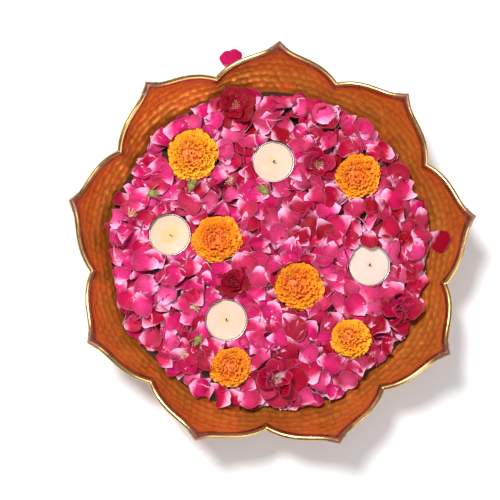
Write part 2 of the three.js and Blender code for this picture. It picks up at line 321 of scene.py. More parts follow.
def paint(tree, shader, colour, roughness=None):
    tree.links.new(colour, shader.inputs["Base Color"])
    if roughness:
        tree.links.new(roughness, shader.inputs["Roughness"])


def addBump(tree, shader, height, strength, distance):
    bump = addNode(tree, "Bump", {"Height": height, "Strength": strength, "Distance": distance})
    tree.links.new(bump.outputs[0], shader.inputs["Normal"])


def metalMaterial(name, light, dark, roughness, patchSize=38.0, bump=0.00006, creaseShade=None, metallic=1.0):
    material, tree, shader = newMaterial(name, Metallic=metallic)
    patches = useGroup(tree, patchGroup, Size=patchSize, Contrast=1.6)
    colour = mixColours(tree, patches, light, dark)
    if creaseShade:
        # painted shade: the crease colour darkens the copper along the seams between hammer marks, where the
        # relief's shade falls
        colour = mixColours(tree, valueOf(tree, "edge"), colour, creaseShade, "MULTIPLY")
    smear = useGroup(tree, patchGroup, Size=patchSize * 3.1, Contrast=1.8)
    paint(tree, shader, colour, rangeOf(tree, smear, *roughness))
    addBump(tree, shader, useGroup(tree, grainGroup, Fine=1400.0, Coarse=260.0), 0.5, bump)
    return material


# the crease colour is painted shade along the seams between hammer marks
copper = metalMaterial("hammeredCopper", (0.83, 0.272, 0.042), (0.63, 0.165, 0.024), (0.35, 0.45),
                       creaseShade=(0.74, 0.64, 0.56), metallic=0.72)
brass = metalMaterial("rimBrass", (0.74, 0.49, 0.20), (0.50, 0.27, 0.10), (0.22, 0.4), 60.0)
braze = metalMaterial("brazedJoint", (0.56, 0.30, 0.19), (0.40, 0.19, 0.12), (0.34, 0.52), 90.0, 0.0002)
tin = metalMaterial("tealightTin", (0.93, 0.93, 0.92), (0.84, 0.84, 0.84), (0.24, 0.36), 120.0, 0.00003,
                    metallic=0.55)
print("metals made")


# ---- Bowl sheet

bowl = {
    "petals": 9, "firstTip": 88.2, "sheet": 0.0012, "baseRadius": 0.062, "baseHandle": 0.053,
    "valleyRadius": 0.1567, "valleyHeight": 0.056, "wallSlope": 59.4, "wallHandle": 0.0256,
    "fluteDepth": 0.005, "shoulderReach": 0.0068, "pointReach": 0.0065, "pointPower": 5.5,
    "columnsPerPetal": 72, "waterLevel": 0.038,
}
hammer = {"pitch": 0.0070, "row": 0.0064, "reach": 0.0046, "depth": 0.00085, "jitter": 0.0009, "seed": 7,
          "crease": 0.0014}
slopeRun = bowl["wallHandle"] * math.cos(math.radians(bowl["wallSlope"]))
slopeRise = bowl["wallHandle"] * math.sin(math.radians(bowl["wallSlope"]))


def meridian(rise):
    # Radius and height of the sheet's middle: -1 at the centre, 0 at the base's edge, 1 at a valley.
    t = np.clip(rise, 0, 1)
    s = 1 - t
    beyond = 3 * np.maximum(rise - 1, 0)
    low = bowl["sheet"] / 2
    r0, r3 = bowl["baseRadius"], bowl["valleyRadius"]
    z3 = bowl["valleyHeight"]
    radius = r0 * s**3 + 3 * (r0 + bowl["baseHandle"]) * t * s**2 + 3 * (r3 - slopeRun) * t**2 * s + r3 * t**3
    height = low * s**3 + 3 * low * t * s**2 + 3 * (z3 - slopeRise) * t**2 * s + z3 * t**3
    inside = np.clip(1 + rise, 0, 1)
    return np.where(rise < 0, r0 * inside, radius + beyond * slopeRun), height + beyond * slopeRise


def fromTip(turn):
    # Share of the way from the nearest petal tip (0) to the valley beside it (1).
    return 2 * np.abs(turn - np.round(turn))


def rimRise(turn):
    x = fromTip(turn)
    reach = bowl["shoulderReach"] * (1 - x**3) + bowl["pointReach"] * (1 - x) ** bowl["pointPower"]
    return 1 + reach / (3 * slopeRun)


def angleOf(turn):
    return np.radians(bowl["firstTip"]) + turn * 2 * math.pi / bowl["petals"]


def turnAt(angle):
    return (angle - math.radians(bowl["firstTip"])) * bowl["petals"] / (2 * math.pi)


def sheetPoint(turn, rise):
    turn, rise = np.broadcast_arrays(np.asarray(turn, float), np.asarray(rise, float))
    radius, height = meridian(rise)
    radius = radius + bowl["fluteDepth"] * np.clip(rise, 0, 1) ** 2 * (1 - fromTip(turn) ** 2)
    angle = angleOf(turn)
    return np.stack([radius * np.cos(angle), radius * np.sin(angle), height], axis=-1)


riseTable = np.linspace(0, 1.3, 400)


def wallRadius(angle, height):
    # Radius of the sheet's middle in one direction at one height.
    points = sheetPoint(turnAt(angle), riseTable)
    return np.interp(height, points[:, 2], np.hypot(points[:, 0], points[:, 1]))


def hammerMarks():
    # Rings of strikes from the base's edge to the rim, staggered and a little uneven.
    rng = np.random.default_rng(hammer["seed"])
    rises = np.linspace(0, 1.32, 600)
    line = sheetPoint(0.25, rises)
    lengths = np.concatenate([[0], np.cumsum(np.linalg.norm(np.diff(line, axis=0), axis=1))])
    marks = []
    for ring, length in enumerate(np.arange(-0.02, lengths[-1], hammer["row"])):
        rise = np.interp(length, lengths, rises)
        radius = meridian(rise)[0]
        count = round(2 * math.pi * radius / hammer["pitch"])
        turns = (np.arange(count) + ring % 2 / 2) * bowl["petals"] / count
        turns += rng.normal(0, hammer["jitter"], count) * bowl["petals"] / (2 * math.pi * radius)
        uneven = rise + rng.normal(0, hammer["jitter"], count) / 0.12
        marks.append(sheetPoint(turns, uneven))
    marks = np.concatenate(marks)
    return marks, rng.uniform(0.65, 1.2, len(marks))


def sheetNormals(points):
    down = np.gradient(points, axis=0)
    across = np.empty_like(points)
    across[:, 1:-1] = points[:, 2:] - points[:, :-2]
    across[:, 0] = across[:, -1] = points[:, 1] - points[:, -2]
    normal = np.cross(across, down)
    return normal / np.maximum(np.linalg.norm(normal, axis=2, keepdims=True), 1e-12)


def makeBowl():
    turns = np.linspace(0, bowl["petals"], bowl["petals"] * bowl["columnsPerPetal"] + 1)
    base = np.array([-1, -0.96, -0.88, -0.76, -0.6, -0.4, -0.2])
    below = np.linspace(0, 0.72, 21)[:-1]
    above = np.linspace(0, 1, 48)
    rises = np.concatenate([
        np.repeat(np.concatenate([base, below])[:, None], len(turns), axis=1),
        0.72 + above[:, None] * (rimRise(turns) - 0.72)[None, :]])
    points = sheetPoint(np.repeat(turns[None, :], len(rises), axis=0), rises)
    normals = sheetNormals(points)
    marks, weights = hammerMarks()
    tree = KDTree(len(marks))
    for i, mark in enumerate(marks):
        tree.insert(mark, i)
    tree.balance()
    flat = points.reshape(-1, 3)
    found = [tree.find_n(point, 2) for point in flat]
    distance = np.array([hits[0][2] for hits in found])
    second = np.array([hits[1][2] for hits in found])
    weight = weights[[hits[0][1] for hits in found]]
    # edge is 1 on the seams between hammer marks, where the copper material paints shade
    edge = np.clip(1 - (second - distance) / hammer["crease"], 0, 1)
    dent = weight * np.maximum(1 - (distance / hammer["reach"]) ** 2, 0)
    fadeIn = np.clip(rises / 0.3, 0, 1)
    toRim = np.clip((rimRise(turns)[None, :] - rises) / 0.12, 0.25, 1)
    push = dent.reshape(rises.shape) * hammer["depth"] * fadeIn * toRim
    points = points + normals * (push - hammer["depth"] * 0.4 * fadeIn * toRim)[..., None]
    points[:, -1] = points[:, 0]
    edge = edge.reshape(rises.shape) * fadeIn * toRim
    piece = wrappedGrid("hammeredBowl", points, values={"edge": edge})
    applyModifier(piece, "SOLIDIFY", thickness=bowl["sheet"], offset=0, use_even_offset=True)
    points = pointsOf(piece)
    onBase = np.hypot(points[:, 0], points[:, 1]) < bowl["baseRadius"] * 0.98
    faceHeight = np.where(points[:, 2] > bowl["sheet"] / 2, bowl["sheet"], 0)
    points[:, 2] = np.where(onBase, faceHeight, points[:, 2])
    setPoints(piece, points)
    smooth(piece, 42)
    finishPiece(piece, copper, "bowl", "hammered_sheet", "bowl_shell")


# ---- Rolled rim

rim = {"bead": 0.0023, "rise": 0.0016, "lip": 0.0007, "lipDepth": 0.0024, "clear": 0.0003,
       "tipExtra": 0.00035, "tipArm": 0.008, "steps": 22, "arcs": 22, "seed": 3}


def rimSection(extra):
    # The roll and its two lips, drawn as (out of the wall, up the wall) from the sheet's edge.
    slot = bowl["sheet"] / 2 + rim["clear"]
    lip = slot + rim["lip"] + extra / 2
    radius = rim["bead"] + extra
    low = math.asin(lip / radius)
    edge = rim["lip"] * 0.3
    points = [(slot, -rim["lipDepth"] + edge), (slot + edge, -rim["lipDepth"]),
              (lip - edge, -rim["lipDepth"]), (lip, -rim["lipDepth"] + edge)]
    for angle in np.linspace(low, 2 * math.pi - low, rim["arcs"]):
        points.append((radius * math.sin(angle), rim["rise"] - radius * math.cos(angle)))
    points += [(-lip, -rim["lipDepth"] + edge), (-lip + edge, -rim["lipDepth"]),
               (-slot - edge, -rim["lipDepth"]), (-slot, -rim["lipDepth"] + edge)]
    points += [(-slot, rim["clear"]), (slot, rim["clear"])]
    return np.array(points + points[:1])


def rimRing(tip, side, x, section):
    # The section square to the rim, or mitred upright at a tip (x = 0) or a valley (x = 1).
    step = 1e-4 if x < 0.5 else -1e-4
    turn = tip + side * x / 2
    point = sheetPoint(turn, rimRise(turn))
    near = turn + side * step
    along = unit((sheetPoint(near, rimRise(near)) - point) * side * math.copysign(1, step))
    climb = sheetPoint(turn, rimRise(turn) + 1e-4) - point
    out = unit(np.cross(along, climb))
    up = np.cross(out, along)
    places = point + section[:, :1] * out + section[:, 1:] * up
    if x in (0, 1):
        angle = angleOf(turn)
        tangent = np.array([-math.sin(angle), math.cos(angle), 0])
        places -= ((places - point) @ tangent / (along @ tangent))[:, None] * along
    return places


def shareAtLength(length):
    turns = np.linspace(0, 0.5, 2000)
    points = sheetPoint(turns, rimRise(turns))
    passed = np.cumsum(np.linalg.norm(np.diff(points, axis=0), axis=1))
    return float(np.interp(length, passed, fromTip(turns[1:])))


def lumpy(rng, section, amount):
    # A soldered lump isn't quite the section it covers: its roll swells and shrinks.
    grown = section.copy()
    roll = section[:, 1] > -0.0005
    grown[roll] *= 1 + rng.normal(0, amount)
    return grown


def makeRim():
    rng = np.random.default_rng(rim["seed"])
    plain = rimSection(0)
    thick = rimSection(rim["tipExtra"])
    start = shareAtLength(rim["tipArm"] + rim["clear"])
    arm = shareAtLength(rim["tipArm"])
    halfway = np.linspace(start, 1, rim["steps"])
    for tip in range(bowl["petals"]):
        rings = [rimRing(tip, 1, x, lumpy(rng, plain, 0.012)) for x in halfway[:-1]]
        rings += [rimRing(tip, 1, 1, plain)]
        rings += [rimRing(tip + 1, -1, x, lumpy(rng, plain, 0.012)) for x in halfway[-2::-1]]
        piece = wrappedGrid(f"rimRoll{tip + 1}", np.array(rings), capped=True)
        smooth(piece, 40)
        finishPiece(piece, brass, "bowl", "rim_roll", f"rim_bead_{tip + 1}")
        arms = np.linspace(0, arm, 7)
        rings = [rimRing(tip, -1, x, lumpy(rng, thick, 0.03)) for x in arms[:0:-1]]
        rings += [rimRing(tip, 1, x, lumpy(rng, thick, 0.03)) for x in arms]
        piece = wrappedGrid(f"brazedTip{tip + 1}", np.array(rings), capped=True)
        smooth(piece, 40)
        finishPiece(piece, braze, "bowl", "brazed_joint", f"rim_tip_{tip + 1}")


makeBowl()
makeRim()
print("bowl and rim made")


# ---- Copies of small shapes

def addTones(*pieces):
    # How red and how pale each copy is, read by its material.
    for piece in pieces:
        for label in ("tone", "pale"):
            piece.data.attributes.new(label, "FLOAT", "POINT")


def modelGrid(name, across, along):
    piece = flatGrid(name, across, along)
    addTones(piece)
    return piece


def copyOf(model, points, tone=0.5, pale=0.0):
    piece = model.copy()
    piece.data = model.data.copy()
    bpy.context.collection.objects.link(piece)
    setPoints(piece, points)
    setValues(piece, "tone", tone)
    setValues(piece, "pale", pale)
    return piece


def join(name, pieces):
    pickOnly(*pieces)
    bpy.ops.object.join()
    piece = bpy.context.object
    piece.name = piece.data.name = name
    return piece


def thrownAway(*pieces):
    for piece in pieces:
        bpy.data.objects.remove(piece)


def stood(points, origin, across, along):
    # Local points set on an origin, with their x and y along two directions.
    up = np.cross(across, along)
    return origin + points @ np.array([across, along, up])


def centreOf(node):
    low, high = (np.array(corner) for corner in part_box(node))
    return (low + high) / 2, (high - low) / 2


def discGrid(across, along):
    # A square grid rounded into a disc, from -1 to 1 each way.
    s, t = np.meshgrid(np.linspace(-1, 1, across), np.linspace(-1, 1, along))
    return s * np.sqrt(1 - t**2 / 2), t * np.sqrt(1 - s**2 / 2)


# ---- Water

water = {"gap": 0.0003, "sides": 180, "ripple": 0.00018, "meniscus": 0.0007}


def shadedWaterMaterial():
    material, tree, shader = newMaterial(
        "stillWater", Roughness=0.05, IOR=1.33, Alpha=0.93, Specular_IOR_Level=0.3)
    patches = useGroup(tree, patchGroup, Size=30.0, Contrast=2.0)
    # painted shade: the water's near-black browns stand in for the shaded bowl floor seen through it
    paint(tree, shader, mixColours(tree, patches, (0.030, 0.008, 0.003), (0.060, 0.018, 0.007)))
    addBump(tree, shader, useGroup(tree, grainGroup, Fine=160.0, Coarse=45.0), 0.35, 0.0008)
    return material


def makeWater():
    angles = np.linspace(0, 2 * math.pi, water["sides"] + 1)
    low = bowl["sheet"] + water["gap"]
    heights = np.linspace(low, bowl["waterLevel"], 9)
    clear = bowl["sheet"] / 2 / math.sin(math.radians(60)) + water["gap"] + 0.0003
    rows = [ringOf(0, angles, low)]
    for height in heights:
        radius = np.array([wallRadius(angle, height) for angle in angles]) - clear - hammer["depth"]
        rows.append(ringOf(radius, angles, height))
    edge = rows[-1]
    for share in (0.985, 0.95, 0.85, 0.7, 0.5, 0.3, 0.15):
        ring = edge * (share, share, 1)
        swell = np.sin(ring[:, 0] * 210 + 1.3) * np.cos(ring[:, 1] * 170 - 0.4)
        ring[:, 2] += water["ripple"] * swell - water["meniscus"] * min(1, (1 - share) * 30)
        rows.append(ring)
    rows.append(edge * (0, 0, 1) - (0, 0, water["meniscus"]))
    points = np.array(rows)
    points[:, -1] = points[:, 0]
    piece = wrappedGrid("stillWater", points)
    smooth(piece, 50)
    finishPiece(piece, shadedWaterMaterial(), "bowl", "water", "water")


makeWater()
print("water made")


# ---- Tealights

tealight = {
    "sides": 72, "wall": 0.00035, "floor": 0.0004, "draft": 0.0007, "lipBead": 0.00045,
    "dish": 0.0008, "wickRadius": 0.0008, "wickSides": 10,
    "pools": {1: 0.35, 2: 0.2, 3: 0.5, 4: 0.4}, "melted": {1: 0.45, 2: 0.45, 3: 1.0, 4: 0.45},
    "warmth": {1: 0.55, 2: 0.0, 3: 0.75, 4: 0.5}, "burnt": {1: 1.0, 2: 1.0, 3: 0.25, 4: 1.0},
    "wickLean": {1: 40, 2: 75, 3: 10, 4: 95}, "seed": 11,
}


def selectFaces(piece, wanted):
    # Faces chosen by their middle and direction, ready for edit mode.
    mesh = piece.data
    for part in (mesh.vertices, mesh.edges, mesh.polygons):
        part.foreach_set("select", [False] * len(part))
    for face in mesh.polygons:
        face.select = bool(wanted(face))
    pickOnly(piece)
    bpy.ops.object.mode_set(mode="EDIT")
    bpy.ops.mesh.select_mode(type="FACE")


def makeCup(k, centre, half):
    top = centre[2] + half[2]
    bpy.ops.object.select_all(action="DESELECT")
    bpy.ops.mesh.primitive_cylinder_add(
        vertices=tealight["sides"], radius=half[0] - tealight["lipBead"], depth=2 * half[2], location=centre)
    piece = bpy.context.object
    piece.name = piece.data.name = f"tealight{k}Cup"
    bpy.ops.object.transform_apply(location=True, rotation=True, scale=True)
    selectFaces(piece, lambda face: face.normal.z < -0.9)
    taper = 1 - tealight["draft"] / half[0]
    bpy.ops.transform.resize(value=(taper, taper, 1), center_override=tuple(centre))
    bpy.ops.mesh.bevel(offset=0.0009, segments=3, affect="EDGES")
    bpy.ops.object.mode_set(mode="OBJECT")
    selectFaces(piece, lambda face: face.normal.z > 0.9)
    bpy.ops.mesh.inset(thickness=tealight["wall"])
    deep = -(2 * half[2] - tealight["floor"])
    bpy.ops.mesh.extrude_region_move(TRANSFORM_OT_translate={"value": (0, 0, deep)})
    bpy.ops.transform.resize(value=(taper, taper, 1), center_override=tuple(centre))
    bpy.ops.object.mode_set(mode="OBJECT")
    selectFaces(piece, lambda face: face.normal.z > 0.9 and face.center.z > top - 0.0002)
    bpy.ops.mesh.extrude_region_shrink_fatten(TRANSFORM_OT_shrink_fatten={"value": -0.0002})
    bpy.ops.mesh.bevel(offset=0.00012, segments=2, affect="EDGES")
    bpy.ops.object.mode_set(mode="OBJECT")
    mergeSeams(piece)
    smooth(piece, 35)
    finishPiece(piece, tin, f"tealight_{k}", "tin_cup", f"tealight_{k}_cup")


def waxMaterial():
    material, tree, shader = newMaterial(
        "candleWax", Subsurface_Weight=0.35, Subsurface_Scale=0.003, Subsurface_Radius=(1.0, 0.7, 0.4),
        Specular_IOR_Level=0.4)
    pool = valueOf(tree, "pale")
    solid = mixColours(tree, valueOf(tree, "tone"), (0.69, 0.51, 0.46), (0.66, 0.36, 0.21))
    melted = mixColours(tree, pool, solid, (0.62, 0.42, 0.19))
    blotches = useGroup(tree, patchGroup, Size=160.0, Contrast=1.6)
    colour = mixColours(tree, rangeOf(tree, blotches, 0.0, 0.3), melted, (0.72, 0.56, 0.40))
    paint(tree, shader, colour, rangeOf(tree, pool, 0.42, 0.16))
    addBump(tree, shader, useGroup(tree, grainGroup, Fine=900.0, Coarse=240.0), 0.35, 0.00012)
    return material


def makeWax(k, centre, half, rng, material):
    low, high = centre[2] - half[2], centre[2] + half[2]
    radius, dish, draft = half[0], tealight["dish"], tealight["draft"]
    rings = [(0, low), (radius - draft - 0.001, low), (radius - draft, low + 0.001),
             (radius - 0.0003, high - 0.0008), (radius - 0.00035, high - 0.0003), (radius - 0.0006, high),
             (radius * 0.93, high - 0.00004), (radius * 0.86, high - 0.0002)]
    for share in (0.78, 0.66, 0.52, 0.38, 0.25, 0.12):
        rings.append((radius * share, high - dish * (1 - share**2 * 0.9)))
    rings.append((0, high - dish * 0.8))
    piece = turnedPiece(f"tealight{k}Wax", rings, tealight["sides"], (centre[0], centre[1], 0))
    addTones(piece)
    points = pointsOf(piece)
    away = np.hypot(points[:, 0] - centre[0], points[:, 1] - centre[1]) / radius
    around = np.arctan2(points[:, 1] - centre[1], points[:, 0] - centre[0])
    phase = rng.uniform(0, 6, 3)
    edge = tealight["pools"][k] + 0.05 * np.sin(2 * around + phase[0]) + 0.03 * np.sin(5 * around + phase[1])
    onTop = (points[:, 2] > high - dish * 1.2) & (away < 0.9)
    points[:, 2] -= onTop * 0.00012 * np.sin(3 * around + phase[2]) * away
    setPoints(piece, points)
    melted = np.clip((edge - away) / 0.16 + 0.5, 0, 1) * onTop
    setValues(piece, "pale", melted * tealight["melted"][k])
    setValues(piece, "tone", tealight["warmth"][k])
    smooth(piece, 60)
    finishPiece(piece, material, f"tealight_{k}", "wax", f"tealight_{k}_wax")


def wickMaterial():
    material, tree, shader = newMaterial("waxedWick", Roughness=0.7)
    paint(tree, shader, mixColours(tree, valueOf(tree, "tone"), (0.62, 0.55, 0.42), (0.012, 0.010, 0.009)))
    addBump(tree, shader, useGroup(tree, grainGroup, Fine=3200.0, Coarse=1500.0), 0.8, 0.0001)
    return material


def makeWick(k, centre, half, material):
    # A plaited wick that leans over at its burnt end.
    lean = math.radians(tealight["wickLean"][k])
    low, high = centre[2] - half[2], centre[2] + half[2]
    shares = np.concatenate([np.linspace(0, 0.7, 5), np.linspace(0.76, 1, 7)])
    angles = np.linspace(0, 2 * math.pi, tealight["wickSides"] + 1)
    rows = []
    for share in shares:
        over = max(0, share - 0.78) / 0.22
        radius = tealight["wickRadius"] * (1 + 0.08 * math.sin(share * 60)) * (1 - 0.25 * over)
        swing = 0.0012 * over**1.6
        middle = np.array([centre[0] + swing * math.cos(lean), centre[1] + swing * math.sin(lean),
                           low + share * (high - low)])
        rows.append(middle + ringOf(radius, angles, 0))
    rows = [np.repeat(rows[0].mean(axis=0)[None], len(angles), axis=0)] + rows
    rows.append(np.repeat(rows[-1][:-1].mean(axis=0)[None] + (0, 0, 0.0002), len(angles), axis=0))
    points = np.array(rows)
    points[0] = points[1][:-1].mean(axis=0)
    piece = wrappedGrid(f"tealight{k}Wick", points)
    addTones(piece)
    heights = pointsOf(piece)[:, 2]
    burnt = np.clip((heights - (high - 0.0034)) / 0.0012, 0, 1) * tealight["burnt"][k]
    setValues(piece, "tone", burnt)
    smooth(piece, 60)
    finishPiece(piece, material, f"tealight_{k}", "wick", f"tealight_{k}_wick")


def makeTealights():
    rng = np.random.default_rng(tealight["seed"])
    wax, wick = waxMaterial(), wickMaterial()
    for k in range(1, 5):
        makeCup(k, *centreOf(f"tealight_{k}_cup"))
        makeWax(k, *centreOf(f"tealight_{k}_wax"), rng, wax)
        makeWick(k, *centreOf(f"tealight_{k}_wick"), wick)
        foot = bpy.data.objects[f"tealight_{k}_wick_foot"]
        foot.data.materials.clear()
        foot.data.materials.append(tin)


makeTealights()
print("tealights made")


# ---- Petals, florets and their materials

def makeVeinGroup():
    # Veins that fan out from a petal's base along its own unwrapped grid.
    group, start, end = newGroup("veins", [("Count", "NodeSocketFloat", 40.0)], [("Mask", "NodeSocketFloat")])
    place = addNode(group, "TexCoord").outputs["UV"]
    parts = addNode(group, "SeparateXYZ", {"Vector": place})
    side = calc(group, "SUBTRACT", parts.outputs["X"], 0.5)
    fan = calc(group, "DIVIDE", side, calc(group, "ADD", parts.outputs["Y"], 0.45))
    noise = addNode(group, "TexNoise", {"Vector": place, "Scale": 6.0, "Detail": 2.0})
    bent = calc(group, "MULTIPLY_ADD", noise.outputs["Fac"], 0.06, fan)
    wave = calc(group, "SINE", calc(group, "MULTIPLY", bent, start.outputs["Count"]))
    group.links.new(rangeOf(group, wave, 0.0, 1.0, start=-0.2), end.inputs["Mask"])
    return group


veinGroup = makeVeinGroup()


def petalMaterial(name, pink, middle, red, base, roughness=(0.42, 0.6)):
    # Tone runs from pink through magenta to red, pale lightens a whole petal, and the base end is pale pink.
    material, tree, shader = newMaterial(
        name, Subsurface_Weight=0.05, Subsurface_Scale=0.0012, Subsurface_Radius=(1.0, 0.25, 0.35),
        Specular_IOR_Level=0.10)
    tone = valueOf(tree, "tone")
    firstHalf = rangeOf(tree, tone, 0.0, 1.0, end=0.5)
    lastHalf = rangeOf(tree, tone, 0.0, 1.0, start=0.5)
    colour = mixColours(tree, lastHalf, mixColours(tree, firstHalf, pink, middle), red)
    blotches = useGroup(tree, patchGroup, Size=120.0, Contrast=2.2)
    # darker patches: partly the petals' own uneven colour, partly painted shade standing in for the shading
    # across each curled petal
    deep = calc(tree, "MULTIPLY", blotches, 0.65)
    colour = mixColours(tree, deep, colour, (0.52, 0.34, 0.40), "MULTIPLY")
    colour = mixColours(tree, valueOf(tree, "pale"), colour, (base[0], base[1] * 0.32, base[2] * 0.62))
    place = addNode(tree, "TexCoord").outputs["UV"]
    parts = addNode(tree, "SeparateXYZ", {"Vector": place})
    along = parts.outputs["Y"]
    fromMiddle = calc(tree, "ABSOLUTE", calc(tree, "SUBTRACT", parts.outputs["X"], 0.5))
    outer = calc(tree, "MAXIMUM", calc(tree, "MULTIPLY", fromMiddle, 2.0), along)
    flush = rangeOf(tree, outer, 0.0, 0.66, 0.30, 1.0)
    colour = mixColours(tree, flush, colour, tuple(value * 0.62 for value in red))
    colour = mixColours(tree, rangeOf(tree, outer, 0.0, 0.10, start=0.93), colour, base)
    ragged = calc(tree, "MULTIPLY_ADD", blotches, 0.22, along)
    fade = rangeOf(tree, ragged, 0.92, 0.0, 0.06, 0.52, interpolation_type="SMOOTHSTEP")
    colour = mixColours(tree, fade, colour, base)
    veins = useGroup(tree, veinGroup, Count=46.0)
    colour = mixColours(tree, calc(tree, "MULTIPLY", veins, 0.16), colour, (0.55, 0.35, 0.45), "MULTIPLY")
    paint(tree, shader, colour, rangeOf(tree, blotches, *roughness))
    addBump(tree, shader, veins, 0.5, 0.00016)
    return material


def floretMaterial():
    material, tree, shader = newMaterial(
        "marigoldFloret", Subsurface_Weight=0.12, Subsurface_Scale=0.0015,
        Subsurface_Radius=(1.0, 0.45, 0.1), Sheen_Weight=0.05, Specular_IOR_Level=0.35)
    colour = mixColours(tree, valueOf(tree, "tone"), (1.0, 0.38, 0.012), (0.90, 0.16, 0.006))
    colour = mixColours(tree, valueOf(tree, "pale"), colour, (1.0, 0.46, 0.02))
    place = addNode(tree, "TexCoord").outputs["UV"]
    along = addNode(tree, "SeparateXYZ", {"Vector": place}).outputs["Y"]
    colour = mixColours(tree, rangeOf(tree, along, 0.85, 0.0, 0.15, 0.8), colour, (0.42, 0.035, 0.002))
    veins = useGroup(tree, veinGroup, Count=30.0)
    paint(tree, shader, colour, rangeOf(tree, veins, 0.5, 0.68))
    addBump(tree, shader, veins, 0.5, 0.0002)
    return material


rosePink = petalMaterial("rosePetal", (0.76, 0.012, 0.20), (0.62, 0.004, 0.075), (0.34, 0.001, 0.012),
                         (0.94, 0.48, 0.71))
roseDark = petalMaterial("darkRosePetal", (0.46, 0.005, 0.035), (0.33, 0.003, 0.016), (0.20, 0.001, 0.006),
                         (0.60, 0.08, 0.13))
floretOrange = floretMaterial()
print("flower materials made")


# ---- Marigolds

marigold = {
    "florets": 250, "across": 6, "along": 5, "length": 0.0115, "width": 0.0062, "thickness": 0.0003,
    "frill": 0.0013, "golden": 137.508, "seeds": {1: 31, 2: 32, 3: 33, 4: 34, 5: 35, 6: 36},
    "tones": {1: 0.0, 2: 0.5, 3: 0.4, 4: 0.4, 5: 0.0, 6: 0.45},
    "rolls": {2: 0.25}, "pales": {1: 0.75, 5: 0.8}, "lobes": 0.055, "modelRadius": 0.021, "rise": 0.285,
    "heart": [(0, 0.0004), (0.5, 0.0004), (0.72, 0.003), (0.7, 0.0058), (0.5, 0.0085), (0.25, 0.0098),
              (0, 0.0102)],
}


def floretForm():
    # Narrow at the base, broad and crimped at its end.
    s, t = np.meshgrid(np.linspace(-1, 1, marigold["across"]), np.linspace(0, 1, marigold["along"]))
    wide = 0.28 + 0.72 * np.sin(t * 1.75) ** 1.3
    x = s * wide * marigold["width"] / 2
    y = marigold["length"] * (t - 0.10 * s**2 * t)
    z = marigold["frill"] * np.sin(s * 5.0 + 0.6) * t**2 + 0.0010 * s**2 * t
    return np.stack([x, y, z], axis=2).reshape(-1, 3)


def makeMarigold(k, model, form):
    rng = np.random.default_rng(marigold["seeds"][k])
    node = f"marigold_{k}_head"
    centre, half = centreOf(node)
    low, high = centre[2] - half[2], centre[2] + half[2]
    radius = (half[0] + half[1]) / 2
    relative = radius / marigold["modelRadius"]
    count = round(marigold["florets"] * relative**1.4)
    foot = np.array([centre[0], centre[1], low + (high - low) * marigold["rise"]])
    phases = rng.uniform(0, 6, 2)
    florets = []
    for i in range(count):
        share = math.sqrt((i + 0.5) / count)
        around = math.radians(i * marigold["golden"]) + rng.normal(0, 0.09)
        lean = min(share * math.radians(100) + rng.normal(0, 0.07), math.radians(104))
        out = outward(around)
        uneven = 1 + rng.normal(0, 0.05)
        tip = out * radius * min(math.sin(min(lean, math.pi / 2)) * uneven, 1.03)
        tip[2] = (high - low) * 0.70 * max(math.cos(lean), -0.35) * uneven
        along = unit(out * math.sin(lean) + np.array([0, 0, math.cos(lean) * 1.15]))
        across = np.cross(along, out + np.array([0, 0, 1e-3]))
        if np.linalg.norm(across) < 0.2:
            across = np.array([-out[1], out[0], 0])
        across = unit(across)
        roll = rng.normal(0, marigold["rolls"].get(k, 0.75)) * (1.15 - share * 0.75)
        up = np.cross(across, along)
        across = across * math.cos(roll) + up * math.sin(roll)
        lobe = math.sin(2 * around + phases[0]) + math.sin(5 * around + phases[1])
        tip[:2] *= 1 + share * marigold["lobes"] * lobe
        size = (1 + rng.normal(0, 0.08)) * (0.62 + 0.42 * share) * relative
        points = form * size
        points[:, 0] *= 0.9 + 0.3 * rng.random()
        points[:, 2] *= rng.choice([-1, 1])
        origin = foot + tip - along * points[:, 1].max()
        tone = np.clip(marigold["tones"][k] + rng.normal(0, 0.22), 0, 1)
        pale = max(0, marigold["pales"].get(k, 0.22) + rng.normal(0, 0.25)) * (1 - share * 0.4)
        florets.append(copyOf(model, stood(points, origin, across, along), tone, min(pale, 1)))
    piece = join(f"marigold{k}Florets", florets)
    points = pointsOf(piece)
    points[:, 2] = np.clip(points[:, 2], low + 0.0001, None)
    setPoints(piece, points)
    applyModifier(piece, "SOLIDIFY", thickness=marigold["thickness"], offset=0)
    smooth(piece, 70)
    finishPiece(piece, floretOrange, f"marigold_{k}", "marigold_floret", node)
    profile = [(share * radius, low + height) for share, height in marigold["heart"]]
    heart = turnedPiece(f"marigold{k}Heart", profile, 24, (centre[0], centre[1], 0))
    addTones(heart)
    setValues(heart, "tone", 1.0)
    smooth(heart, 60)
    finishPiece(heart, floretOrange, f"marigold_{k}", "marigold_floret")


def leafMaterial(name, light, dark, tip=(0.55, 0.60, 0.33)):
    material, tree, shader = newMaterial(name, Subsurface_Weight=0.1, Subsurface_Scale=0.002)
    patches = useGroup(tree, patchGroup, Size=260.0, Contrast=2.4)
    colour = mixColours(tree, patches, light, dark)
    spots = calc(tree, "MULTIPLY", useGroup(tree, patchGroup, Size=620.0, Contrast=3.5), 0.4)
    paint(tree, shader, mixColours(tree, spots, colour, tip), rangeOf(tree, patches, 0.45, 0.65))
    addBump(tree, shader, useGroup(tree, grainGroup, Fine=1800.0, Coarse=600.0), 0.5, 0.00015)
    return material


calyxGreen = leafMaterial("calyxGreen", (0.16, 0.24, 0.05), (0.09, 0.15, 0.03))
budGreen = leafMaterial("budGreen", (0.22, 0.28, 0.045), (0.13, 0.08, 0.02), (0.42, 0.42, 0.14))


